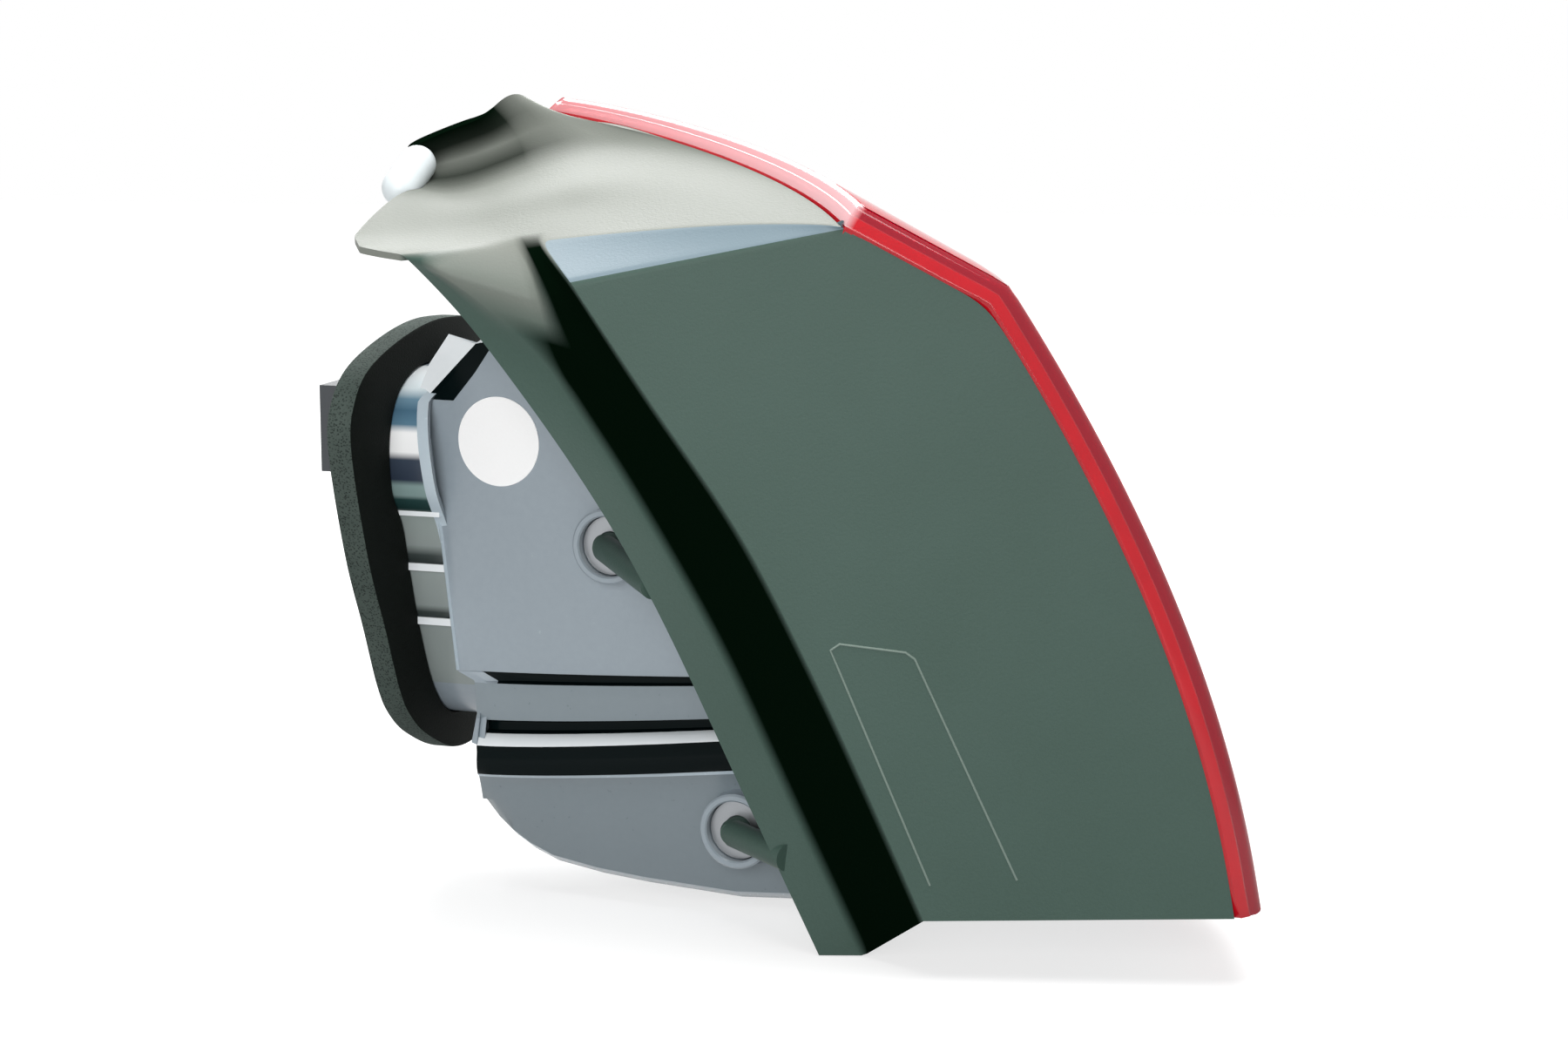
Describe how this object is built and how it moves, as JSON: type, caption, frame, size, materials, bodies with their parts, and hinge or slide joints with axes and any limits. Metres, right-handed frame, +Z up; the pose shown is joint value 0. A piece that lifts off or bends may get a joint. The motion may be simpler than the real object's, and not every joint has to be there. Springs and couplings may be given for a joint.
{
  "type": "tail light cluster",
  "caption": "Rear corner lamp: red curved lens with clear windows, side trim with a wing, hollow housing, bulbs on a carrier, and a gasketed port with studs.",
  "frame": {"origin": "centre of the main stud's seat on the port flange", "axes": "+X rearward into the lamp, +Y outboard to the right-hand side of the vehicle, +Z up"},
  "size_m": [0.3262, 0.169, 0.2704],
  "materials": {
    "housing": "satin grey moulded housing",
    "trim": "fine grained grey-green",
    "red_lens": "clear red, glossy",
    "clear_lens": "clear, glossy",
    "bead": "cured adhesive",
    "reflex": "prismatic red",
    "reflector": "vacuum metallised",
    "bezel": "dark satin",
    "bulb_glass": "clear",
    "amber_glass": "amber",
    "brass_cap": "plain",
    "brass": "stamped",
    "steel": "zinc plated",
    "carrier": "black",
    "foam": "foam strip",
    "gasket": "open-pored foam",
    "pin": "white",
    "cap": "black",
    "label": "blank"
  },
  "bodies": {
    "root": {"housing": "housing", "trim_panel": "trim", "red_lens": "red_lens", "clear_window": "clear_lens", "lens_bead": "bead", "reflex_reflector": "reflex", "reflector": "reflector", "inner_bezel": "bezel", "tail_bulb_glass": "bulb_glass", "turn_bulb_glass": "amber_glass", "reverse_bulb_glass": "bulb_glass", "bulb_caps": "brass_cap", "filaments": "steel", "bulb_carrier": "carrier", "contact_tracks": "brass", "connector_pins": "brass", "carrier_seal": "foam", "port_gasket": "gasket", "main_stud": "steel", "lower_stud": "steel", "locating_pin": "pin", "spring_clips": "steel", "breather_cap": "cap", "round_label": "label"}
  },
  "joints": []
}
